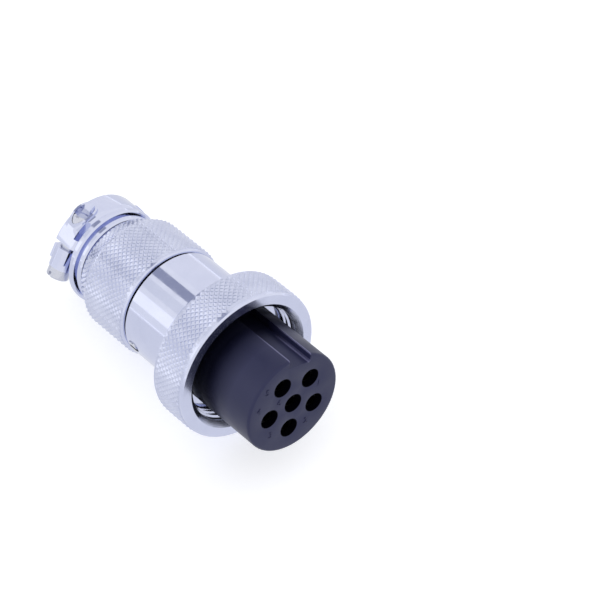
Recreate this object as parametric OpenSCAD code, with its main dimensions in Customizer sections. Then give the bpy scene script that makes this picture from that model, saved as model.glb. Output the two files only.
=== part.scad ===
// Cable-end plug of a screw-coupled circular connector.
// The axis is +X, pointing out of the mating face. The origin is the centre of
// that face, so every station along the axis is a negative x. +Z is up, and the
// two clamp screws stand along it. Clock angles turn from +Y towards +Z.

/* [Coupling nut] */
// Major diameter of the coupling thread
thread_d = 20; // [19.6:0.1:21]
// Pitch of the coupling thread
thread_pitch = 1; // [0.75:0.25:1.25]
// Wall of the nut outside the thread
nut_wall = 2; // [1.6:0.1:3.5]
// Length of the nut along the axis
nut_length = 7.3; // [6:0.1:9]
// Thickness of the web that hooks behind the shell flange
nut_web = 2.4; // [1.6:0.1:3]
// Depth of the cone on the back edge of the nut
nut_back_cone = 0.8; // [0.3:0.1:1.2]

/* [Front shell] */
// Outside diameter of the shell body
shell_d = 17.4; // [16.8:0.1:17.8]
// Length of the shell from its front face to the sleeve joint
shell_length = 14.6; // [13.5:0.1:17]
// Wall of the shell body
shell_wall = 1.7; // [1.4:0.1:2]
// Height of the flange that holds the nut on
flange_height = 0.5; // [0.3:0.05:0.55]
// Thickness of that flange
flange_thickness = 1.7; // [1.4:0.1:2.2]
// Metal left round the seat of the insert
seat_wall = 0.85; // [0.8:0.05:1.0]
// Depth of that seat
seat_depth = 1.1; // [0.6:0.1:1.3]
// Step down from the shell body to the threaded spigot
spigot_step = 0.8; // [0.6:0.1:1]
// Length of the spigot
spigot_length = 7.2; // [6:0.1:8]

/* [Insert] */
// Length of nose that stands out of the shell
nose_length = 13.1; // [12:0.1:14]
// Radius on the front edge of the nose
nose_edge = 0.4; // [0.2:0.1:0.8]
// Width of the keyway in the nose
key_width = 3.8; // [3:0.1:4.4]
// Depth of the keyway
key_depth = 1.5; // [1:0.1:1.8]
// Clock angle of the keyway
key_angle = 90; // [84:1:96]
// Length of the stem of the front half, behind the seat
front_stem = 1.8; // [1.6:0.1:2.6]
// Length of the rear half
insert_rear_length = 11; // [10:0.1:11.2]

/* [Contacts] */
// Number of contacts on the ring, beside the one in the centre
ring_count = 5; // [3:1:5]
// Insert material from the ring of contacts out to its side
ring_cover = 2.6; // [2.5:0.1:2.8]
// Clock angle of the first ring contact
ring_angle = 54; // [50:1:58]
// Bore of a contact, for the mating pin
socket_d = 1.56; // [1.3:0.02:1.6]
// Wall of a contact round that bore
contact_wall = 0.42; // [0.35:0.01:0.46]
// Depth of that bore
socket_depth = 8.2; // [6:0.1:9]
// How far a contact sits behind the insert face
contact_setback = 0.8; // [0.4:0.1:1.5]
// Room round a contact in its entry hole
entry_gap = 0.25; // [0.15:0.05:0.3]
// Height of the contact shoulder held between the insert halves
shoulder_height = 0.55; // [0.4:0.05:0.6]
// Length of that shoulder
contact_shoulder_length = 1.3; // [1:0.1:1.4]
// Step down from a contact to its shank and solder cup
shank_step = 0.05; // [0:0.01:0.1]
// Length of shank that stands out behind the insert
cup_length = 4.6; // [4:0.1:5.5]
// Width of the slits that let the socket spring
slit_width = 0.3; // [0.2:0.05:0.35]

/* [Set screw] */
// Thread diameter of the set screw that holds the insert
set_screw_d = 2; // [1.6:0.1:2.4]
// Distance of the set screw from the shell's sleeve end
set_screw_back = 1.6; // [1.4:0.1:2.2]
// Clock angle of the set screw
set_screw_angle = 207; // [204:1:220]
// How far the set screw stands out of the shell
set_screw_proud = 0.15; // [0:0.05:0.3]

/* [Back sleeve] */
// Wall of the sleeve over the spigot
sleeve_wall = 1; // [0.8:0.05:1.3]
// Length of the sleeve at its full diameter
sleeve_length = 8.8; // [8:0.1:10]
// Length of the tapered shoulder behind it
taper_length = 3.4; // [2.6:0.1:4]
// Height of the inner lip that catches the rim of the tail
lip_height = 1.5; // [1.3:0.1:1.8]
// Wall of the lip at the back end
lip_wall = 0.8; // [0.6:0.1:1.1]
// Radius of the rounded edges of the sleeve
sleeve_edge = 0.35; // [0.1:0.05:0.4]

/* [Tail and clamp] */
// Wall of the neck that turns in the sleeve
neck_wall = 1.2; // [0.8:0.1:1.4]
// Thickness of the flared rim at the front of the neck
rim_thickness = 1.2; // [0.8:0.1:1.4]
// Height of the tail ring above the neck
ring_height = 0.95; // [0.8:0.05:1.2]
// Length of the closed ring of the tail
tail_ring_length = 2.4; // [2.2:0.1:3.2]
// Height of the fixed jaw above the ring
jaw_height = 0.55; // [0.3:0.05:0.7]
// Angle that the clamp is turned from the keyway, about the axis of the plug
clamp_clock = 20; // [0:5:45]
// Length of the fixed jaw behind the ring
jaw_length = 4.1; // [3.9:0.1:4.6]
// Metal from the middle of a clamp screw out to the side of the jaw
screw_cover = 1.8; // [1.7:0.1:2]
// Opening between the fixed jaw and the saddle
clamp_gap = 0.8; // [0.6:0.1:1.1]
// Metal between the cable trough and a screw hole
screw_wall = 1.99; // [1.8:0.01:2.1]
// Thread diameter of the clamp screws
screw_d = 2.5; // [2.2:0.1:2.6]
// How far a clamp screw's head stands out over its thread
head_overhang = 0.5; // [0.4:0.05:0.6]
// Height of the clamp screw heads
screw_head_height = 1.6; // [1.3:0.1:1.9]
// Length of the loose saddle
saddle_length = 3.9; // [3.8:0.1:4.2]
// Wall of the ears round the clamp screws
ear_wall = 0.59; // [0.5:0.01:0.7]
// Height of those ears
ear_height = 3.2; // [2.8:0.1:3.6]

/* [Hidden] */

$fn = 96;

// Clearances, each between two named pieces
nut_play = 0.1;        // shell flange to nut web
nut_bore_gap = 0.12;   // nut web to shell body, on the radius
stem_gap = 0.1;        // insert to shell bore, on the radius
collar_gap = 0.05;     // collar behind the nose to its seat, on the radius
rim_side_gap = 0.3;    // flared rim to the bore of the sleeve, on the radius
shoulder_gap = 0.1;    // contact shoulder to its pocket
contact_gap = 0.1;     // contact to insert behind the entry hole, on the radius
shank_gap = 0.08;      // contact shank to the rear half, on the radius
set_screw_gap = 0.05;  // set screw to its hole, on the radius
joint_gap = 0.2;       // shell to sleeve, along the axis
spigot_gap = 0.1;      // spigot to sleeve, on the radius
rim_gap = 0.1;         // flared rim to the lip of the sleeve
rim_front_gap = 0.2;   // flared rim to the end of the spigot
neck_gap = 0.1;        // neck to the lip of the sleeve, on the radius
tail_gap = 0.3;        // sleeve to the tail ring
saddle_gap = 0.5;       // tail ring to the saddle and its ears
screw_gap = 0.06;      // clamp screw to the jaws, on the radius

// Small features
edge = 0.25;           // plain chamfer on turned edges
mouth_depth = 0.8;     // chamfer at the mouth of the nut
relief_length = 1.6;   // thread run-out in front of the nut web
relief_depth = 0.15;   // relief beyond the major diameter, on the radius
band_width = 0.7;      // front band of the tail ring
groove_width = 0.45;   // groove behind that band
groove_depth = 0.5;
collar_lead = 0.1;     // how far the collar stands out of its seat
nose_step = 0.3;       // how far the nose stands over the collar, on the radius
entry_depth = 11;      // wide part of the contact holes
contact_lead = 0.15;   // chamfer at the front of a contact
cup_wall = 0.4;        // wall of a solder cup
cup_depth = 3.2;
cup_cut = 2.6;         // length of the scooped side of a cup
slit_length = 6.8;
driver_slot = 0.45;    // width of the driver slots
set_screw_slot = 0.6;  // depth of the slot in the set screw
set_screw_bite = 0.95; // how deep the set screw reaches into the insert
bridge_wall = 1.2;     // saddle wall round the cable trough
pocket_floor = 1.6;    // foot of the relief in front of each boss of the fixed jaw
pocket_height = 3;
pocket_wall = 0.35;    // metal left between the relief and the screw hole
jaw_overlap = 0.2;     // how far the jaw runs into the ring
jaw_round = 1;         // rounding at the front of the jaw
jaw_back_round = 0.4;
jaw_relief = 0.4;      // how much lower than its flange the ring is behind it
boss_proud = 0.25;     // how far the screw bosses stand out of the jaw
ear_foot = 2.2;        // height of the plate that joins an ear to the bridge
ear_web = 0.5;         // how much narrower than the ear that plate is
thread_end_recess = 0.35;

// Radii, from the thread and the shell outwards and inwards
thread_r = thread_d / 2;
thread_minor_r = thread_r - 0.5413 * thread_pitch;
nut_r = thread_r + nut_wall;
shell_r = shell_d / 2;
flange_r = shell_r + flange_height;
shell_bore_r = shell_r - shell_wall;
seat_r = shell_r - seat_wall;
collar_r = seat_r - collar_gap;
nose_r = collar_r + nose_step;
stem_r = shell_bore_r - stem_gap;
ring_r = stem_r - ring_cover;
spigot_r = shell_r - spigot_step;
sleeve_bore_r = spigot_r + spigot_gap;
sleeve_r = sleeve_bore_r + sleeve_wall;
lip_r = sleeve_bore_r - lip_height;
taper_r = lip_r + lip_wall;
neck_r = lip_r - neck_gap;
rim_r = sleeve_bore_r - rim_side_gap;
tail_bore_r = neck_r - neck_wall;
tail_r = neck_r + ring_height;
jaw_r = tail_r + jaw_height;
screw_r = screw_d / 2;
screw_hole_r = screw_r + screw_gap;
head_r = screw_r + head_overhang;
ear_r = screw_hole_r + ear_wall;
screw_y = jaw_r - screw_cover;
cable_r = screw_y - screw_hole_r - screw_wall;
contact_r = socket_d / 2 + contact_wall;
entry_r = contact_r + entry_gap;
shoulder_r = contact_r + shoulder_height;
shank_r = contact_r - shank_step;
cup_bore_r = shank_r - cup_wall;
set_screw_r = set_screw_d / 2;
set_screw_tip = stem_r - set_screw_bite;  // radius at which the set screw ends

// Stations along the axis, front to back
shell_front = -nose_length;
seat_x = shell_front - seat_depth;
collar_front = shell_front + collar_lead;
flange_back = shell_front - flange_thickness;
web_front = flange_back - nut_play;
nut_back = web_front - nut_web;
nut_front = nut_back + nut_length;
split_x = seat_x - front_stem;
insert_back = split_x - insert_rear_length;
contact_front = -contact_setback;
contact_back = insert_back - cup_length;
shoulder_back = split_x + shoulder_gap;
shoulder_front = shoulder_back + contact_shoulder_length;
shell_back = shell_front - shell_length;
set_screw_x = shell_back + set_screw_back;
spigot_back = shell_back - spigot_length;
sleeve_front = shell_back - joint_gap;
sleeve_full_back = sleeve_front - sleeve_length;
sleeve_back = sleeve_full_back - taper_length;
rim_front = spigot_back - rim_front_gap;
rim_back = rim_front - rim_thickness;
lip_front = rim_back - rim_gap;
tail_front = sleeve_back - tail_gap;
ring_back = tail_front - tail_ring_length;
jaw_back = ring_back - jaw_length;
saddle_front = ring_back - saddle_gap;
saddle_back = saddle_front - saddle_length;
screw_x = saddle_front - ear_r;
jaw_front = ring_back + jaw_overlap;
flange_front = tail_front - band_width - groove_width;

// Heights at the clamp
saddle_z = -clamp_gap;
seat_z = saddle_z - ear_height;
screw_top = sqrt(pow(jaw_r, 2) - pow(screw_y, 2)) - thread_end_recess;

metal = [0.78, 0.79, 0.85];
plastic = [0.14, 0.15, 0.27];
contact_metal = [0.83, 0.70, 0.42];

// Points of a round corner in a profile of [radius, x]
function round_corner(r, x, size, from, to, steps = 5) =
    [for (i = [0:steps]) let (a = from + (to - from) * i / steps)
        [r + size * cos(a), x + size * sin(a)]];

// A turned piece from its profile of [radius, x]
module turned(profile) {
    rotate([0, 90, 0]) rotate_extrude() polygon(profile);
}

// A round bar along the axis between two stations
module bar(r, back, front) {
    translate([back, 0, 0]) rotate([0, 90, 0]) cylinder(h = front - back, r = r);
}

// Puts a piece that lies on the axis at a clock angle and a radius
module clocked(angle, radius) {
    rotate([angle, 0, 0]) translate([0, radius, 0]) children();
}

// Repeats for the ring contacts
module at_ring() {
    for (i = [0:ring_count - 1]) clocked(ring_angle + i * 360 / ring_count, ring_r) children();
}

// Internally threaded nut with a web behind that turns on the shell
module coupling_nut() {
    color(metal)
    turned(concat(
        [[thread_minor_r + mouth_depth, nut_front], [nut_r - edge, nut_front], [nut_r, nut_front - edge]],
        round_corner(nut_r - edge, nut_back + nut_back_cone + edge, edge, 0, -30, 3),
        [[nut_r - nut_back_cone - edge, nut_back], [shell_r + nut_bore_gap + edge, nut_back],
         [shell_r + nut_bore_gap, nut_back + edge], [shell_r + nut_bore_gap, web_front],
         [thread_r + relief_depth, web_front], [thread_r + relief_depth, web_front + relief_length],
         [thread_minor_r, web_front + relief_length + relief_depth],
         [thread_minor_r, nut_front - mouth_depth]]));
}

// Turned shell: flange in front, plain body, threaded spigot behind
module front_shell() {
    color(metal)
    difference() {
        turned([
            [seat_r, shell_front], [flange_r - edge, shell_front],
            [flange_r, shell_front - edge], [flange_r, flange_back], [shell_r, flange_back],
            [shell_r, shell_back + edge], [shell_r - edge, shell_back], [spigot_r, shell_back],
            [spigot_r, spigot_back + edge], [spigot_r - edge, spigot_back],
            [shell_bore_r, spigot_back], [shell_bore_r, seat_x], [seat_r, seat_x]]);
        set_screw_hole(0);
    }
}

// Front half of the insert: keyed nose with the entry holes
module insert_front() {
    color(plastic)
    difference() {
        turned(concat(
            [[0, split_x], [stem_r, split_x], [stem_r, seat_x], [collar_r, seat_x],
             [collar_r, collar_front], [nose_r, collar_front]],
            round_corner(nose_r - nose_edge, -nose_edge, nose_edge, 0, 90),
            [[0, 0]]));
        keyway();
        contact_cavity();
        at_ring() contact_cavity();
    }
}

// Groove that lets the plug in one way round only
module keyway() {
    rotate([key_angle, 0, 0])
        translate([shell_front, nose_r - key_depth, -key_width / 2])
            cube([nose_length + 1, key_depth + 1, key_width]);
}

// Stepped hole for one contact in the front half
module contact_cavity() {
    bar(contact_r + contact_gap, split_x - 1, 1);
    bar(entry_r, -entry_depth, 1);
    bar(shoulder_r + shoulder_gap, split_x - 1, shoulder_front + shoulder_gap);
}

// Rear half of the insert: carries the shanks, and the set screw bites in it
module insert_rear() {
    color(plastic)
    difference() {
        bar(stem_r, insert_back, split_x);
        shank_hole();
        at_ring() shank_hole();
        set_screw_hole(set_screw_tip - 2 * set_screw_gap);
    }
}

module shank_hole() {
    bar(shank_r + shank_gap, insert_back - 1, split_x + 1);
}

// Hole for the set screw, outwards from a radius
module set_screw_hole(from) {
    translate([set_screw_x, 0, 0]) clocked(set_screw_angle, from) rotate([-90, 0, 0])
        cylinder(h = 2 * shell_r, r = set_screw_r + set_screw_gap, $fn = 32);
}

// Contact: slit socket in front, shoulder, shank, scooped solder cup behind.
// The scoop opens away from the axis of the plug.
module contact() {
    color(contact_metal)
    difference() {
        union() {
            turned([
                [0, shoulder_back], [0, contact_front], [contact_r - contact_lead, contact_front],
                [contact_r, contact_front - contact_lead], [contact_r, shoulder_front],
                [shoulder_r, shoulder_front], [shoulder_r, shoulder_back]]);
            bar(shank_r, contact_back, shoulder_back);
        }
        bar(socket_d / 2, contact_front - socket_depth, contact_front + 1);
        translate([contact_front - slit_length, -2 * contact_r, -slit_width / 2])
            cube([slit_length + 1, 4 * contact_r, slit_width]);
        bar(cup_bore_r, contact_back - 1, contact_back + cup_depth);
        translate([contact_back - 1, 0, -2 * shank_r])
            cube([cup_cut + 1, 2 * shank_r, 4 * shank_r]);
    }
}

module ring_contact(index) {
    clocked(ring_angle + (index - 1) * 360 / ring_count, ring_r) contact();
}

// Headless slotted screw, standing on its clock angle
module set_screw() {
    top = shell_r + set_screw_proud;
    color(metal)
    translate([set_screw_x, 0, 0]) rotate([set_screw_angle, 0, 0])
    difference() {
        translate([0, set_screw_tip, 0]) rotate([-90, 0, 0])
            cylinder(h = top - set_screw_tip, r = set_screw_r, $fn = 32);
        translate([-2 * set_screw_r, top - set_screw_slot, -driver_slot / 2])
            cube([4 * set_screw_r, 1, driver_slot]);
    }
}

// Sleeve that screws on the spigot and traps the rim of the tail
module back_sleeve() {
    color(metal)
    turned(concat(
        [[sleeve_bore_r + edge, sleeve_front]],
        round_corner(sleeve_r - sleeve_edge, sleeve_front - sleeve_edge, sleeve_edge, 90, 0, 4),
        round_corner(sleeve_r - 3 * sleeve_edge, sleeve_full_back, 3 * sleeve_edge, 0, -26, 3),
        round_corner(taper_r - sleeve_edge, sleeve_back + sleeve_edge, sleeve_edge, -26, -90, 4),
        [[lip_r, sleeve_back], [lip_r, lip_front], [sleeve_bore_r, lip_front],
         [sleeve_bore_r, sleeve_front - edge]]));
}

// Turns a piece of the clamp from the keyway to its own clock angle
module at_clamp() {
    rotate([-clamp_clock, 0, 0]) children();
}

// Tail: flared rim and neck in the sleeve, banded ring, fixed upper jaw
module tail_clamp() {
    color(metal)
    at_clamp()
    difference() {
        union() {
            turned([
                [tail_bore_r, rim_front], [rim_r - edge, rim_front],
                [rim_r, rim_front - edge], [rim_r, rim_back], [neck_r, rim_back],
                [neck_r, tail_front], [tail_r - edge, tail_front], [tail_r, tail_front - edge],
                [tail_r, tail_front - band_width], [tail_r - groove_depth, tail_front - band_width],
                [tail_r - groove_depth, flange_front],
                [jaw_r - edge, flange_front], [jaw_r, flange_front - edge],
                [jaw_r, jaw_front + edge], [jaw_r - edge, jaw_front],
                [jaw_r - jaw_relief, jaw_front],
                [jaw_r - jaw_relief, ring_back], [tail_bore_r, ring_back]]);
            difference() {
                union() {
                    fixed_jaw();
                    for (side = [-1, 1]) jaw_boss(side);
                }
                bar(cable_r, jaw_back - 1, jaw_front + 1);
                for (side = [-1, 1]) jaw_pocket(side);
            }
        }
        for (side = [-1, 1]) screw_hole(side);
    }
}

// The upper half of a turned ring with rounded rims, open at the split
module fixed_jaw() {
    intersection() {
        turned(concat(
            [[0, jaw_front], [0, jaw_back]],
            round_corner(jaw_r - jaw_back_round, jaw_back + jaw_back_round, jaw_back_round, -90, 0, 5),
            round_corner(jaw_r - jaw_round, jaw_front - jaw_round, jaw_round, 0, 90, 10)));
        translate([jaw_back - 1, -jaw_r - 1, 0])
            cube([jaw_front - jaw_back + 2, 2 * jaw_r + 2, jaw_r + 1]);
    }
}

// Boss round a screw hole of the fixed jaw, faired into the round of the jaw
module jaw_boss(side) {
    intersection() {
        translate([screw_x, side * screw_y, 0]) cylinder(h = jaw_r, r = ear_r - ear_web / 2);
        bar(jaw_r + boss_proud, jaw_back, jaw_front);
    }
}

// Relief in the side of the fixed jaw, in front of a boss
module jaw_pocket(side) {
    pocket_back = screw_x + screw_hole_r + pocket_wall;
    translate([pocket_back, side * screw_y - (side < 0 ? jaw_r : 0), pocket_floor])
        cube([ring_back - pocket_back, jaw_r, pocket_height]);
}

module screw_hole(side) {
    translate([screw_x, side * screw_y, -1])
        cylinder(h = jaw_r + 2, r = screw_hole_r, $fn = 32);
}

// Loose saddle: bridge over the cable and an ear round each screw
module clamp_saddle() {
    color(metal)
    at_clamp()
    translate([0, 0, saddle_z])
    difference() {
        union() {
            saddle_bridge();
            for (side = [-1, 1])
                translate([screw_x, side * screw_y, -ear_height]) cylinder(h = ear_height, r = ear_r);
            translate([saddle_back + edge, -screw_y - ear_r + ear_web, -ear_foot])
                cube([saddle_length - 2 * edge, 2 * (screw_y + ear_r - ear_web), ear_foot]);
        }
        bar(cable_r, saddle_back - 1, saddle_front + 1);
        for (side = [-1, 1]) translate([screw_x, side * screw_y, -ear_height - 1])
            cylinder(h = ear_height + 2, r = screw_hole_r, $fn = 32);
    }
}

// The lower half of a turned ring over the cable, with rounded rims
module saddle_bridge() {
    bridge_r = cable_r + bridge_wall;
    intersection() {
        turned(concat(
            [[0, saddle_front], [0, saddle_back]],
            round_corner(bridge_r - edge, saddle_back + edge, edge, -90, 0, 4),
            round_corner(bridge_r - edge, saddle_front - edge, edge, 0, 90, 4)));
        translate([saddle_back - 1, -bridge_r - 1, -bridge_r - 1])
            cube([saddle_length + 2, 2 * bridge_r + 2, bridge_r + 1]);
    }
}

// Slotted cheese-head screw, head down, on one side of the cable
module clamp_screw(side) {
    color(metal)
    at_clamp()
    translate([screw_x, side * screw_y, 0])
    difference() {
        rotate_extrude($fn = 64) polygon(concat(
            [[0, seat_z - screw_head_height]],
            round_corner(head_r - edge, seat_z - screw_head_height + edge, edge, -90, 0, 4),
            [[head_r, seat_z], [screw_r, seat_z], [screw_r, screw_top - edge],
             [screw_r - edge, screw_top], [0, screw_top]]));
        translate([-driver_slot / 2, -head_r - 1, seat_z - screw_head_height - 1])
            cube([driver_slot, 2 * head_r + 2, 1 + screw_head_height / 2]);
    }
}

coupling_nut();
front_shell();
insert_front();
insert_rear();
ring_contact(1);  // contact_1
ring_contact(2);  // contact_2
ring_contact(3);  // contact_3
ring_contact(4);  // contact_4
ring_contact(5);  // contact_5
contact();  // contact_6
set_screw();
back_sleeve();
tail_clamp();
clamp_saddle();
clamp_screw(-1);  // clamp_screw_1
clamp_screw(1);  // clamp_screw_2
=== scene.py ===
import math

import bmesh
import bpy
from mathutils import Matrix, Vector


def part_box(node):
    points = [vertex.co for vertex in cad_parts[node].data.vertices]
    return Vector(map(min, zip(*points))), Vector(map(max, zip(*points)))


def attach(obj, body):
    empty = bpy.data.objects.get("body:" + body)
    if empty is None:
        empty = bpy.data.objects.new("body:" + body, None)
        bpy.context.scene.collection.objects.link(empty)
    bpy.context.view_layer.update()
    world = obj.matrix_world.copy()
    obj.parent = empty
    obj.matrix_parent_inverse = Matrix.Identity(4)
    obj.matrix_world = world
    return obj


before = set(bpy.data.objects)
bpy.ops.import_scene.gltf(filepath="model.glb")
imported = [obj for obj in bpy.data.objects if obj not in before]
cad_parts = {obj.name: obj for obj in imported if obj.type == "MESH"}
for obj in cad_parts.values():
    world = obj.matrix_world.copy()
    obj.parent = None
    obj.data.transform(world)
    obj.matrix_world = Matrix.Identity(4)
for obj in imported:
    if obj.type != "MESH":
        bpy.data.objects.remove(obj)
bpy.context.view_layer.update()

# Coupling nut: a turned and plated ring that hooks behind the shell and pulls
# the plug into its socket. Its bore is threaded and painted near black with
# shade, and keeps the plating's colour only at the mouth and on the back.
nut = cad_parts["coupling_nut"]
nut_low, nut_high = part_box("coupling_nut")
nut_radius = nut_high.z
bright_tint = (0.71, 0.74, 0.90, 1)
shade_tint = (0.60, 0.63, 0.80, 1)
bore_radius = 0.01005
mouth_depth = 0.0008

plating = bpy.data.node_groups.new("plating_marks", "ShaderNodeTree")
plating.interface.new_socket("Bright", in_out="INPUT", socket_type="NodeSocketColor")
plating.interface.new_socket("Shade", in_out="INPUT", socket_type="NodeSocketColor")
plating.interface.new_socket("Smooth", in_out="INPUT", socket_type="NodeSocketFloat")
plating.interface.new_socket("Rough", in_out="INPUT", socket_type="NodeSocketFloat")
plating.interface.new_socket("Turning Pitch", in_out="INPUT", socket_type="NodeSocketFloat")
plating.interface.new_socket("Color", in_out="OUTPUT", socket_type="NodeSocketColor")
plating.interface.new_socket("Roughness", in_out="OUTPUT", socket_type="NodeSocketFloat")
plating.interface.new_socket("Height", in_out="OUTPUT", socket_type="NodeSocketFloat")
n, wire = plating.nodes, plating.links.new
given = n.new("NodeGroupInput")
made = n.new("NodeGroupOutput")
coord = n.new("ShaderNodeTexCoord")
cloud = n.new("ShaderNodeTexNoise")
cloud.inputs["Scale"].default_value = 260
cloud.inputs["Detail"].default_value = 5
cloud.inputs["Roughness"].default_value = 0.6
wire(coord.outputs["Object"], cloud.inputs["Vector"])
tone = n.new("ShaderNodeMix")
tone.data_type = "RGBA"
wire(cloud.outputs["Fac"], tone.inputs["Factor"])
wire(given.outputs["Bright"], tone.inputs["A"])
wire(given.outputs["Shade"], tone.inputs["B"])
wire(tone.outputs["Result"], made.inputs["Color"])
split = n.new("ShaderNodeSeparateXYZ")
wire(coord.outputs["Object"], split.inputs["Vector"])
pitch = n.new("ShaderNodeMath")
pitch.operation = "MULTIPLY"
wire(split.outputs["X"], pitch.inputs[0])
wire(given.outputs["Turning Pitch"], pitch.inputs[1])
lathe = n.new("ShaderNodeTexNoise")
lathe.noise_dimensions = "1D"
lathe.inputs["Scale"].default_value = 1
lathe.inputs["Detail"].default_value = 3
wire(pitch.outputs["Value"], lathe.inputs["W"])
wire(lathe.outputs["Fac"], made.inputs["Height"])
smear = n.new("ShaderNodeTexNoise")
smear.inputs["Scale"].default_value = 900
smear.inputs["Detail"].default_value = 4
wire(coord.outputs["Object"], smear.inputs["Vector"])
gloss = n.new("ShaderNodeMapRange")
gloss.inputs["From Min"].default_value = 0.35
gloss.inputs["From Max"].default_value = 0.7
wire(smear.outputs["Fac"], gloss.inputs["Value"])
wire(given.outputs["Smooth"], gloss.inputs["To Min"])
wire(given.outputs["Rough"], gloss.inputs["To Max"])
wire(gloss.outputs["Result"], made.inputs["Roughness"])

turned_plating = bpy.data.materials.new("turned_plating")
turned_plating.use_nodes = True
n, wire = turned_plating.node_tree.nodes, turned_plating.node_tree.links.new
shader = n["Principled BSDF"]
shader.inputs["Metallic"].default_value = 1
marks = n.new("ShaderNodeGroup")
marks.node_tree = plating
marks.inputs["Bright"].default_value = bright_tint
marks.inputs["Shade"].default_value = shade_tint
marks.inputs["Smooth"].default_value = 0.14
marks.inputs["Rough"].default_value = 0.24
marks.inputs["Turning Pitch"].default_value = 9000
relief = n.new("ShaderNodeBump")
relief.inputs["Strength"].default_value = 0.12
relief.inputs["Distance"].default_value = 0.00004
wire(marks.outputs["Color"], shader.inputs["Base Color"])
wire(marks.outputs["Roughness"], shader.inputs["Roughness"])
wire(marks.outputs["Height"], relief.inputs["Height"])
wire(relief.outputs["Normal"], shader.inputs["Normal"])


bore_plating = turned_plating.copy()
bore_plating.name = "bore_plating"
n, wire = bore_plating.node_tree.nodes, bore_plating.node_tree.links.new
shader = n["Principled BSDF"]
marks = next(node for node in n if node.type == "GROUP")
coord = n.new("ShaderNodeTexCoord")
flat = n.new("ShaderNodeVectorMath")
flat.operation = "MULTIPLY"
flat.inputs[1].default_value = (0, 1, 1)
wire(coord.outputs["Object"], flat.inputs[0])
reach = n.new("ShaderNodeVectorMath")
reach.operation = "LENGTH"
wire(flat.outputs["Vector"], reach.inputs[0])
outside = n.new("ShaderNodeMapRange")
outside.inputs["From Min"].default_value = bore_radius
outside.inputs["From Max"].default_value = bore_radius + 0.0002
wire(reach.outputs["Value"], outside.inputs["Value"])
split = n.new("ShaderNodeSeparateXYZ")
wire(coord.outputs["Object"], split.inputs["Vector"])
mouth = n.new("ShaderNodeMapRange")
mouth.inputs["From Min"].default_value = nut_high.x - mouth_depth - 0.0001
mouth.inputs["From Max"].default_value = nut_high.x - mouth_depth
wire(split.outputs["X"], mouth.inputs["Value"])
free_of_bore_shade = n.new("ShaderNodeMath")
free_of_bore_shade.operation = "MAXIMUM"
wire(outside.outputs["Result"], free_of_bore_shade.inputs[0])
wire(mouth.outputs["Result"], free_of_bore_shade.inputs[1])
back_edge = n.new("ShaderNodeMapRange")
back_edge.inputs["From Min"].default_value = nut_low.x + 0.0003
back_edge.inputs["From Max"].default_value = nut_low.x + 0.0002
wire(split.outputs["X"], back_edge.inputs["Value"])
bright_face = n.new("ShaderNodeMath")
bright_face.operation = "MAXIMUM"
wire(free_of_bore_shade.outputs["Value"], bright_face.inputs[0])
wire(back_edge.outputs["Result"], bright_face.inputs[1])
# Painted shade: the inside of the bore is painted near black. The mouth, the back edge and all beyond the
# bore are left out.
painted_bore_shade = n.new("ShaderNodeMix")
painted_bore_shade.data_type = "RGBA"
painted_bore_shade.inputs["A"].default_value = (0.035, 0.037, 0.055, 1)
wire(bright_face.outputs["Value"], painted_bore_shade.inputs["Factor"])
wire(marks.outputs["Color"], painted_bore_shade.inputs["B"])
wire(painted_bore_shade.outputs["Result"], shader.inputs["Base Color"])


def finish_solid(node, material, round_edge=0):
    """Joins the loose facets of a solid, keeps its corners and gives it its finish."""
    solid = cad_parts[node]
    joined = solid.modifiers.new("joined", "WELD")
    joined.merge_threshold = 1e-6
    if round_edge:
        eased = solid.modifiers.new("eased", "BEVEL")
        eased.width = round_edge
        eased.segments = 3
        eased.limit_method = "ANGLE"
        eased.angle_limit = math.radians(38)
    corners = solid.modifiers.new("corners", "EDGE_SPLIT")
    corners.split_angle = math.radians(28)
    for face in solid.data.polygons:
        face.use_smooth = True
    for place in range(max(1, len(solid.material_slots))):
        if not solid.material_slots:
            solid.data.materials.append(material)
        solid.material_slots[place].material = material


finish_solid("coupling_nut", bore_plating)

# Knurl of the nut: diamond points rolled into the rim between its smooth front
# band and its back chamfer. The rows are one ring pushed out again and again.
knurl_front = nut_high.x - 0.0006
knurl_back = nut_low.x + 0.0009
knurl_height = 0.00020
knurl_rows = 12
knurl_points = 164
bpy.ops.object.select_all(action="DESELECT")
bpy.ops.mesh.primitive_circle_add(vertices=knurl_points, radius=nut_radius + 0.00001,
                                  location=(knurl_front, 0, 0), rotation=(0, math.pi / 2, 0))
nut_knurl = bpy.context.object
nut_knurl.name = "nut_knurl"
bpy.ops.object.transform_apply(location=True, rotation=True, scale=True)


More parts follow.
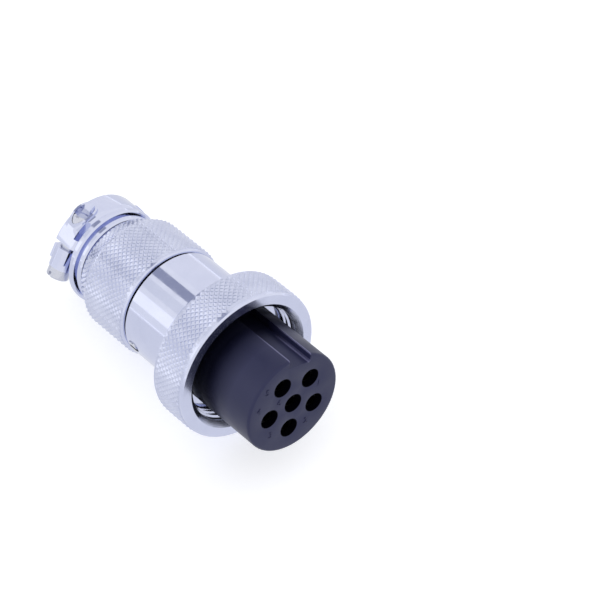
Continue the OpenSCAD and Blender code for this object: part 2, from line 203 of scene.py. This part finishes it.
def roll_knurl(ring, step, rows, height, narrow, clock):
    """Extrudes a ring into rows and raises every other point into a diamond."""
    bpy.ops.object.mode_set(mode="EDIT")
    bpy.ops.mesh.select_all(action="SELECT")
    front = max(v.co.x for v in bmesh.from_edit_mesh(ring.data).verts)
    for row in range(rows):
        bpy.ops.mesh.extrude_edges_move(TRANSFORM_OT_translate={"value": (-step, 0, 0)})
        if narrow[row] != 1:
            bpy.ops.transform.resize(value=(1, narrow[row], narrow[row]),
                                     center_override=(front - step * (row + 1), 0, 0))
    shell = bmesh.from_edit_mesh(ring.data)
    turn = 2 * math.pi / clock
    for point in shell.verts:
        row = round((front - point.co.x) / step)
        column = round(math.atan2(point.co.z, point.co.y) / turn)
        if 0 < row < rows and (row + column) % 2 == 0:
            reach = math.hypot(point.co.y, point.co.z)
            point.co.y *= (reach + height) / reach
            point.co.z *= (reach + height) / reach
    bmesh.update_edit_mesh(ring.data)
    bpy.ops.mesh.select_all(action="SELECT")
    bpy.ops.mesh.quads_convert_to_tris(quad_method="SHORTEST_DIAGONAL")
    bpy.ops.mesh.normals_make_consistent(inside=False)
    bpy.ops.object.mode_set(mode="OBJECT")
    wall = ring.modifiers.new("wall", "SOLIDIFY")
    wall.thickness = 0.00025
    wall.offset = -1
    bpy.ops.object.modifier_apply(modifier=wall.name)


roll_knurl(nut_knurl, (knurl_front - knurl_back) / knurl_rows, knurl_rows, knurl_height,
           [1] * knurl_rows, knurl_points)

rolled_plating = turned_plating.copy()
rolled_plating.name = "rolled_plating"
n = rolled_plating.node_tree.nodes
marks = next(node for node in n if node.type == "GROUP")
marks.inputs["Bright"].default_value = (0.74, 0.77, 0.92, 1)
marks.inputs["Shade"].default_value = (0.50, 0.53, 0.69, 1)
marks.inputs["Smooth"].default_value = 0.12
marks.inputs["Rough"].default_value = 0.28
nut_knurl.data.materials.append(rolled_plating)
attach(nut_knurl, "nut")

# Thread of the nut: a 1 mm pitch vee ridge that stands into the bore from the
# mouth to the run-out, cut on the lathe. Its flanks carry the bore's painted
# shade, and only its crests keep the plating's colour.
thread_pitch = 0.001
thread_middle = 0.00976
thread_height = 0.00060
thread_thinness = 0.48
crest_depth = 0.00975
thread_start = nut_high.x - 0.0012
thread_turns = 3.4
thread_steps = 96
bpy.ops.object.select_all(action="DESELECT")
bpy.ops.mesh.primitive_circle_add(vertices=4, radius=thread_height, fill_type="NGON",
                                  location=(thread_start, 0, thread_middle))
nut_thread = bpy.context.object
nut_thread.name = "nut_thread"
bpy.ops.object.transform_apply(location=True, rotation=True, scale=True)
bpy.ops.object.mode_set(mode="EDIT")
bpy.ops.transform.rotate(value=math.pi / 2, orient_axis="X",
                         center_override=(thread_start, 0, thread_middle))
bpy.ops.transform.resize(value=(thread_thinness, 1, 1),
                         center_override=(thread_start, 0, thread_middle))
bpy.ops.object.mode_set(mode="OBJECT")
winding = nut_thread.modifiers.new("winding", "SCREW")
winding.axis = "X"
winding.angle = math.tau * thread_turns
winding.screw_offset = -thread_pitch * thread_turns
winding.steps = int(thread_steps * thread_turns)
winding.render_steps = int(thread_steps * thread_turns)
bpy.ops.object.modifier_apply(modifier=winding.name)
bpy.ops.object.mode_set(mode="EDIT")
bpy.ops.mesh.select_all(action="SELECT")
bpy.ops.mesh.remove_doubles(threshold=1e-7)
bpy.ops.mesh.normals_make_consistent(inside=False)
bpy.ops.object.mode_set(mode="OBJECT")
# The bore's painted shade, moved so that only the thread's crests are left unshaded.
crest_plating = bore_plating.copy()
crest_plating.name = "crest_plating"
n = crest_plating.node_tree.nodes
outside = next(node for node in n if node.type == "MAP_RANGE" and node.inputs["From Min"].default_value > 0)
outside.inputs["From Min"].default_value = crest_depth + 0.00015
outside.inputs["From Max"].default_value = crest_depth
nut_thread.data.materials.append(crest_plating)
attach(nut_thread, "nut")

# Front shell: the turned body of the plug, polished and plated, with the flange
# that holds the nut at its front and the spigot for the sleeve at its back.
polished_plating = turned_plating.copy()
polished_plating.name = "polished_plating"
n = polished_plating.node_tree.nodes
marks = next(node for node in n if node.type == "GROUP")
marks.inputs["Smooth"].default_value = 0.06
marks.inputs["Rough"].default_value = 0.14
relief = next(node for node in n if node.type == "BUMP")
relief.inputs["Strength"].default_value = 0.05
finish_solid("front_shell", polished_plating)

# Insert: dark phenolic moulding in two halves that holds the contacts. The
# keyway lets the plug in one way round only. Its edges carry painted
# highlights, and its holes and its side near the nut carry painted shade.
insert_plastic = bpy.data.materials.new("insert_plastic")
insert_plastic.use_nodes = True
n, wire = insert_plastic.node_tree.nodes, insert_plastic.node_tree.links.new
shader = n["Principled BSDF"]
coord = n.new("ShaderNodeTexCoord")
grain = n.new("ShaderNodeTexNoise")
grain.inputs["Scale"].default_value = 5200
grain.inputs["Detail"].default_value = 4
wire(coord.outputs["Object"], grain.inputs["Vector"])
flow = n.new("ShaderNodeTexNoise")
flow.inputs["Scale"].default_value = 320
flow.inputs["Detail"].default_value = 3
wire(coord.outputs["Object"], flow.inputs["Vector"])
body_tone = n.new("ShaderNodeMix")
body_tone.data_type = "RGBA"
body_tone.inputs["A"].default_value = (0.013, 0.014, 0.050, 1)
body_tone.inputs["B"].default_value = (0.020, 0.021, 0.066, 1)
wire(flow.outputs["Fac"], body_tone.inputs["Factor"])
hole_ring = 0.0043
hole_radius = 0.0015
hole_places = [(0, 0)]
for clock in (54, 126, 198, 270, 342):
    spot = math.radians(clock)
    hole_places.append((hole_ring * math.cos(spot), hole_ring * math.sin(spot)))
flat = n.new("ShaderNodeVectorMath")
flat.operation = "MULTIPLY"
flat.inputs[1].default_value = (0, 1, 1)
wire(coord.outputs["Object"], flat.inputs[0])
nearest = None
for across, up in hole_places:
    reach = n.new("ShaderNodeVectorMath")
    reach.operation = "DISTANCE"
    reach.inputs[1].default_value = (0, across, up)
    wire(flat.outputs["Vector"], reach.inputs[0])
    closer = n.new("ShaderNodeMath")
    closer.operation = "MINIMUM"
    closer.inputs[1].default_value = 1
    wire(reach.outputs["Value"], closer.inputs[0])
    if nearest:
        wire(nearest.outputs["Value"], closer.inputs[1])
    nearest = closer
# Painted shade: the walls of the six holes are painted near black.
in_hole = n.new("ShaderNodeMapRange")
in_hole.inputs["From Min"].default_value = hole_radius + 0.00004
in_hole.inputs["From Max"].default_value = hole_radius
wire(nearest.outputs["Value"], in_hole.inputs["Value"])
split = n.new("ShaderNodeSeparateXYZ")
wire(coord.outputs["Object"], split.inputs["Vector"])
# Painted shadow of the nut: the insert's side is painted darker towards the nut.
shade = n.new("ShaderNodeMapRange")
shade.inputs["From Min"].default_value = -0.0095
shade.inputs["From Max"].default_value = -0.0045
shade.inputs["To Min"].default_value = 0.9
shade.inputs["To Max"].default_value = 0
wire(split.outputs["X"], shade.inputs["Value"])
# The painted shade of the holes and the nut's painted shadow are mixed near black into the body colour.
painted_shade_mask = n.new("ShaderNodeMath")
painted_shade_mask.operation = "MAXIMUM"
wire(in_hole.outputs["Result"], painted_shade_mask.inputs[0])
wire(shade.outputs["Result"], painted_shade_mask.inputs[1])
painted_shade = n.new("ShaderNodeMix")
painted_shade.data_type = "RGBA"
painted_shade.inputs["B"].default_value = (0.001, 0.001, 0.003, 1)
wire(painted_shade_mask.outputs["Value"], painted_shade.inputs["Factor"])
wire(body_tone.outputs["Result"], painted_shade.inputs["A"])
wire(painted_shade.outputs["Result"], shader.inputs["Base Color"])
# Painted highlights: light lines along the keyway's lips and its floor corner, fading out towards the back.
painted_highlight_lines = [(-0.00183, 0.00786), (0.00183, 0.00786), (0.00170, 0.00672)]
highlight_width = 0.0003
nearest_highlight = None
for across, up in painted_highlight_lines:
    reach = n.new("ShaderNodeVectorMath")
    reach.operation = "DISTANCE"
    reach.inputs[1].default_value = (0, across, up)
    wire(flat.outputs["Vector"], reach.inputs[0])
    closer = n.new("ShaderNodeMath")
    closer.operation = "MINIMUM"
    closer.inputs[1].default_value = 1
    wire(reach.outputs["Value"], closer.inputs[0])
    if nearest_highlight:
        wire(nearest_highlight.outputs["Value"], closer.inputs[1])
    nearest_highlight = closer
painted_highlight = n.new("ShaderNodeMapRange")
painted_highlight.inputs["From Min"].default_value = highlight_width
painted_highlight.inputs["From Max"].default_value = 0.00008
painted_highlight.inputs["To Max"].default_value = 0.8
wire(nearest_highlight.outputs["Value"], painted_highlight.inputs["Value"])
fade = n.new("ShaderNodeMapRange")
fade.inputs["From Min"].default_value = -0.0075
fade.inputs["From Max"].default_value = -0.0040
wire(split.outputs["X"], fade.inputs["Value"])
painted_highlight_front = n.new("ShaderNodeMath")
painted_highlight_front.operation = "MULTIPLY"
wire(painted_highlight.outputs["Result"], painted_highlight_front.inputs[0])
wire(fade.outputs["Result"], painted_highlight_front.inputs[1])
highlighted_tone = n.new("ShaderNodeMix")
highlighted_tone.data_type = "RGBA"
highlighted_tone.inputs["B"].default_value = (0.24, 0.24, 0.42, 1)
wire(painted_highlight_front.outputs["Value"], highlighted_tone.inputs["Factor"])
wire(painted_shade.outputs["Result"], highlighted_tone.inputs["A"])
wire(highlighted_tone.outputs["Result"], shader.inputs["Base Color"])
# The specular is also taken down where the shade is painted.
shine = n.new("ShaderNodeMapRange")
shine.inputs["To Min"].default_value = 0.55
shine.inputs["To Max"].default_value = 0.03
wire(painted_shade_mask.outputs["Value"], shine.inputs["Value"])
wire(shine.outputs["Result"], shader.inputs["Specular IOR Level"])
shader.inputs["Specular Tint"].default_value = (0.66, 0.70, 1.0, 1)
sheen = n.new("ShaderNodeMapRange")
sheen.inputs["From Min"].default_value = 0.3
sheen.inputs["From Max"].default_value = 0.7
sheen.inputs["To Min"].default_value = 0.34
sheen.inputs["To Max"].default_value = 0.46
wire(flow.outputs["Fac"], sheen.inputs["Value"])
wire(sheen.outputs["Result"], shader.inputs["Roughness"])
skin = n.new("ShaderNodeBump")
skin.inputs["Strength"].default_value = 0.18
skin.inputs["Distance"].default_value = 0.00003
wire(grain.outputs["Fac"], skin.inputs["Height"])
wire(skin.outputs["Normal"], shader.inputs["Normal"])
finish_solid("insert_front", insert_plastic, 0.00022)
finish_solid("insert_rear", insert_plastic)

# Contact numbers: small digits moulded proud of the insert's face, one beside
# each of the six holes.
digit_height = 0.0014
digit_places = [("1", 0.00442, 0.00195), ("2", 0.00307, -0.00412),
                ("3", -0.00340, -0.00443), ("4", -0.00637, 0.00073),
                ("5", -0.00530, 0.00360), ("6", -0.00269, 0.00098)]
digit_proud = 0.00002
for digit, across, up in digit_places:
    bpy.ops.object.select_all(action="DESELECT")
    bpy.ops.object.text_add()
    number = bpy.context.object
    number.name = "contact_number_" + digit
    number.data.body = digit
    number.data.size = digit_height
    number.data.align_x = "CENTER"
    number.data.align_y = "CENTER"
    number.data.extrude = 0.00005
    bpy.ops.object.convert(target="MESH")
    number.data.transform(Matrix(((0, 0, 1), (1, 0, 0), (0, 1, 0))).to_4x4())
    number.data.transform(Matrix.Translation((digit_proud, across, up)))
    number.data.materials.clear()
    number.data.materials.append(insert_plastic)
    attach(number, "plug")

# Contacts: turned brass sockets with slit mouths and open solder cups, plated
# thin and painted near black with shade towards their mouths, held between
# the halves of the insert.
contact_metal = bpy.data.materials.new("contact_metal")
contact_metal.use_nodes = True
n, wire = contact_metal.node_tree.nodes, contact_metal.node_tree.links.new
shader = n["Principled BSDF"]
shader.inputs["Metallic"].default_value = 1
marks = n.new("ShaderNodeGroup")
marks.node_tree = plating
marks.inputs["Bright"].default_value = (0.72, 0.70, 0.66, 1)
marks.inputs["Shade"].default_value = (0.60, 0.55, 0.44, 1)
marks.inputs["Smooth"].default_value = 0.2
marks.inputs["Rough"].default_value = 0.34
marks.inputs["Turning Pitch"].default_value = 14000
relief = n.new("ShaderNodeBump")
relief.inputs["Strength"].default_value = 0.15
relief.inputs["Distance"].default_value = 0.00003
coord = n.new("ShaderNodeTexCoord")
split = n.new("ShaderNodeSeparateXYZ")
wire(coord.outputs["Object"], split.inputs["Vector"])
# Painted shade: the front part of each contact, down in its hole, is painted near black.
painted_mouth_shade = n.new("ShaderNodeMapRange")
painted_mouth_shade.inputs["From Min"].default_value = -0.012
painted_mouth_shade.inputs["From Max"].default_value = -0.008
wire(split.outputs["X"], painted_mouth_shade.inputs["Value"])
skin = n.new("ShaderNodeMix")
skin.data_type = "RGBA"
skin.inputs["B"].default_value = (0.012, 0.012, 0.014, 1)
wire(painted_mouth_shade.outputs["Result"], skin.inputs["Factor"])
wire(marks.outputs["Color"], skin.inputs["A"])
wire(skin.outputs["Result"], shader.inputs["Base Color"])
wire(marks.outputs["Roughness"], shader.inputs["Roughness"])
wire(marks.outputs["Height"], relief.inputs["Height"])
wire(relief.outputs["Normal"], shader.inputs["Normal"])
for place in range(1, 7):
    finish_solid("contact_%d" % place, contact_metal)

# Set screw: a small slotted steel screw that locks the insert in the shell.
screw_steel = turned_plating.copy()
screw_steel.name = "screw_steel"
n = screw_steel.node_tree.nodes
marks = next(node for node in n if node.type == "GROUP")
marks.inputs["Bright"].default_value = (0.72, 0.73, 0.80, 1)
marks.inputs["Shade"].default_value = (0.55, 0.57, 0.66, 1)
marks.inputs["Smooth"].default_value = 0.16
marks.inputs["Rough"].default_value = 0.28
finish_solid("set_screw", screw_steel)

# Back sleeve: a threaded sleeve that draws the tail against the shell, knurled
# all over, its last part tapering to the lip round the tail.
finish_solid("back_sleeve", turned_plating)
sleeve_low, sleeve_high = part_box("back_sleeve")
sleeve_radius = sleeve_high.z
sleeve_front = sleeve_high.x - 0.0004
sleeve_straight = 0.0088
sleeve_corner = sleeve_high.x - sleeve_straight
sleeve_end = sleeve_low.x + 0.0003
taper_radius = 0.0073
sleeve_points = 122
sleeve_step = 0.00046
straight_rows = int((sleeve_front - sleeve_corner) / sleeve_step)
sleeve_step = (sleeve_front - sleeve_corner) / straight_rows
taper_rows = round((sleeve_corner - sleeve_end) / sleeve_step)
taper_fall = (sleeve_radius - taper_radius) / (sleeve_corner - sleeve_low.x) * sleeve_step
narrowing = [1] * straight_rows
reach = sleeve_radius
for row in range(taper_rows):
    narrowing.append((reach - taper_fall) / reach)
    reach = reach - taper_fall
bpy.ops.object.select_all(action="DESELECT")
bpy.ops.mesh.primitive_circle_add(vertices=sleeve_points, radius=sleeve_radius + 0.00002,
                                  location=(sleeve_front, 0, 0), rotation=(0, math.pi / 2, 0))
sleeve_knurl = bpy.context.object
sleeve_knurl.name = "sleeve_knurl"
bpy.ops.object.transform_apply(location=True, rotation=True, scale=True)
roll_knurl(sleeve_knurl, sleeve_step, straight_rows + taper_rows, knurl_height,
           narrowing, sleeve_points)
sleeve_knurl.data.materials.append(rolled_plating)
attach(sleeve_knurl, "sleeve")

# Tail and fixed jaw: one turned and milled piece, held by its rim inside the
# sleeve, with the upper half of the cable clamp at its back.
finish_solid("tail_clamp", polished_plating)

# Saddle: the loose half of the clamp, cast with two ears for its screws.
finish_solid("clamp_saddle", polished_plating)

# Clamp screws: slotted steel screws that go up through the saddle's ears and
# right through the fixed jaw.
finish_solid("clamp_screw_1", screw_steel)
finish_solid("clamp_screw_2", screw_steel)

# Table and light: the plug lies on its side on a white table, resting on the
# rim of the nut and the end of the sleeve, in a white tent of soft light. The
# table is clear from below, so that it hides the plug from no side.
table_up = Vector((0.153, -0.304, 0.940)).normalized()
table_drop = 0.01468
bpy.ops.object.select_all(action="DESELECT")
bpy.ops.mesh.primitive_plane_add(size=3)
table = bpy.context.object
table.name = "table_top"
table.data.transform(table_up.to_track_quat("Z", "X").to_matrix().to_4x4())
table.data.transform(Matrix.Translation(-table_up * table_drop))
white_table = bpy.data.materials.new("white_table")
white_table.use_nodes = True
n, wire = white_table.node_tree.nodes, white_table.node_tree.links.new
shader = n["Principled BSDF"]
shader.inputs["Base Color"].default_value = (0.80, 0.81, 0.85, 1)
shader.inputs["Roughness"].default_value = 0.9
shader.inputs["Specular IOR Level"].default_value = 0.1
path = n.new("ShaderNodeLightPath")
seen = n.new("ShaderNodeMath")
seen.operation = "MAXIMUM"
wire(path.outputs["Is Camera Ray"], seen.inputs[0])
wire(path.outputs["Is Glossy Ray"], seen.inputs[1])
through = n.new("ShaderNodeMath")
through.operation = "MAXIMUM"
wire(seen.outputs["Value"], through.inputs[0])
wire(path.outputs["Is Transmission Ray"], through.inputs[1])
lift = n.new("ShaderNodeMath")
lift.operation = "MULTIPLY"
lift.inputs[1].default_value = 0.48
wire(through.outputs["Value"], lift.inputs[0])
shader.inputs["Emission Color"].default_value = (1, 1, 1, 1)
wire(lift.outputs["Value"], shader.inputs["Emission Strength"])
side = n.new("ShaderNodeNewGeometry")
clear = n.new("ShaderNodeBsdfTransparent")
one_sided = n.new("ShaderNodeMixShader")
wire(side.outputs["Backfacing"], one_sided.inputs["Fac"])
wire(shader.outputs["BSDF"], one_sided.inputs[1])
wire(clear.outputs["BSDF"], one_sided.inputs[2])
wire(one_sided.outputs["Shader"], n["Material Output"].inputs["Surface"])
table.data.materials.append(white_table)

# Dark and grey screens of the tent, out of sight above, beside and under the
# plug, which the plated metal shows as its long streaks.
screens = [("streak_screen", (-0.61, -0.20, 0.765), 0.60, 0.16, 0.9, (0.37, 0.39, 0.49)),
           ("bright_screen", (-0.61, -0.77, 0.19), 0.70, 0.22, 1.6, (1.25, 1.25, 1.25)),
           ("top_screen", (-0.61, 0.45, 0.66), 0.80, 0.62, 1.6, (0.95, 0.95, 0.97)),
           ("side_screen", (-0.61, -0.55, 0.57), 0.80, 0.22, 1.6, (0.86, 0.87, 0.90)),
           ("low_screen", (-0.61, -0.79, -0.06), 0.80, 0.20, 1.6, (0.95, 0.96, 0.98))]
for name, towards, distance, wide, tall, glow in screens:
    facing = Vector(towards).normalized()
    bpy.ops.object.select_all(action="DESELECT")
    bpy.ops.mesh.primitive_plane_add(size=1)
    screen = bpy.context.object
    screen.name = name
    along = (Vector((1, 0, 0)) - facing * facing.x).normalized()
    across = facing.cross(along)
    screen.data.transform(Matrix((
        (across.x * wide, along.x * tall, facing.x, facing.x * distance),
        (across.y * wide, along.y * tall, facing.y, facing.y * distance),
        (across.z * wide, along.z * tall, facing.z, facing.z * distance),
        (0, 0, 0, 1))))
    screen.visible_camera = False
    screen.visible_diffuse = False
    screen.visible_shadow = False
    paper = bpy.data.materials.new(name)
    paper.use_nodes = True
    shader = paper.node_tree.nodes["Principled BSDF"]
    shader.inputs["Base Color"].default_value = (0, 0, 0, 1)
    shader.inputs["Specular IOR Level"].default_value = 0
    shader.inputs["Emission Color"].default_value = (*glow, 1)
    shader.inputs["Emission Strength"].default_value = 1
    screen.data.materials.append(paper)

bpy.ops.object.select_all(action="DESELECT")
bpy.ops.mesh.primitive_plane_add(size=0.5)
screen_gap = 0.0001
under_screen = bpy.context.object
under_screen.name = "under_screen"
under_screen.data.transform(table_up.to_track_quat("Z", "X").to_matrix().to_4x4())
under_screen.data.transform(Matrix.Translation(-table_up * (table_drop - screen_gap)))
under_screen.visible_camera = False
under_screen.visible_diffuse = False
under_screen.visible_shadow = False
paper = bpy.data.materials.new("under_screen")
paper.use_nodes = True
shader = paper.node_tree.nodes["Principled BSDF"]
shader.inputs["Base Color"].default_value = (0, 0, 0, 1)
shader.inputs["Specular IOR Level"].default_value = 0
shader.inputs["Emission Color"].default_value = (0.84, 0.85, 0.89, 1)
shader.inputs["Emission Strength"].default_value = 1
under_screen.data.materials.append(paper)

world = bpy.data.worlds.new("tent")
bpy.context.scene.world = world
world.use_nodes = True
n, wire = world.node_tree.nodes, world.node_tree.links.new
sky = n["Background"]
path = n.new("ShaderNodeLightPath")
seen = n.new("ShaderNodeMath")
seen.operation = "MAXIMUM"
wire(path.outputs["Is Camera Ray"], seen.inputs[0])
wire(path.outputs["Is Glossy Ray"], seen.inputs[1])
through = n.new("ShaderNodeMath")
through.operation = "MAXIMUM"
wire(seen.outputs["Value"], through.inputs[0])
wire(path.outputs["Is Transmission Ray"], through.inputs[1])
level = n.new("ShaderNodeMapRange")
level.inputs["To Min"].default_value = 0.85
level.inputs["To Max"].default_value = 1.0
wire(through.outputs["Value"], level.inputs["Value"])
wire(level.outputs["Result"], sky.inputs["Strength"])
sky.inputs["Color"].default_value = (1, 1, 1, 1)

camera_right = Vector((0.63920, 0.75605, 0.14078))
camera_up = Vector((-0.50165, 0.27115, 0.82148))
camera_back = Vector((0.58290, -0.59571, 0.55259))
camera = bpy.data.objects.new("camera", bpy.data.cameras.new("camera"))
bpy.context.scene.collection.objects.link(camera)
camera.matrix_world = Matrix((
    (camera_right.x, camera_up.x, camera_back.x, 0.226530),
    (camera_right.y, camera_up.y, camera_back.y, -0.233608),
    (camera_right.z, camera_up.z, camera_back.z, 0.233071),
    (0, 0, 0, 1)))
camera.data.lens = 170.97
camera.data.sensor_width = 36
camera.data.clip_start = 0.01
camera.data.clip_end = 20
bpy.context.scene.camera = camera

bpy.context.scene.view_settings.view_transform = "Standard"
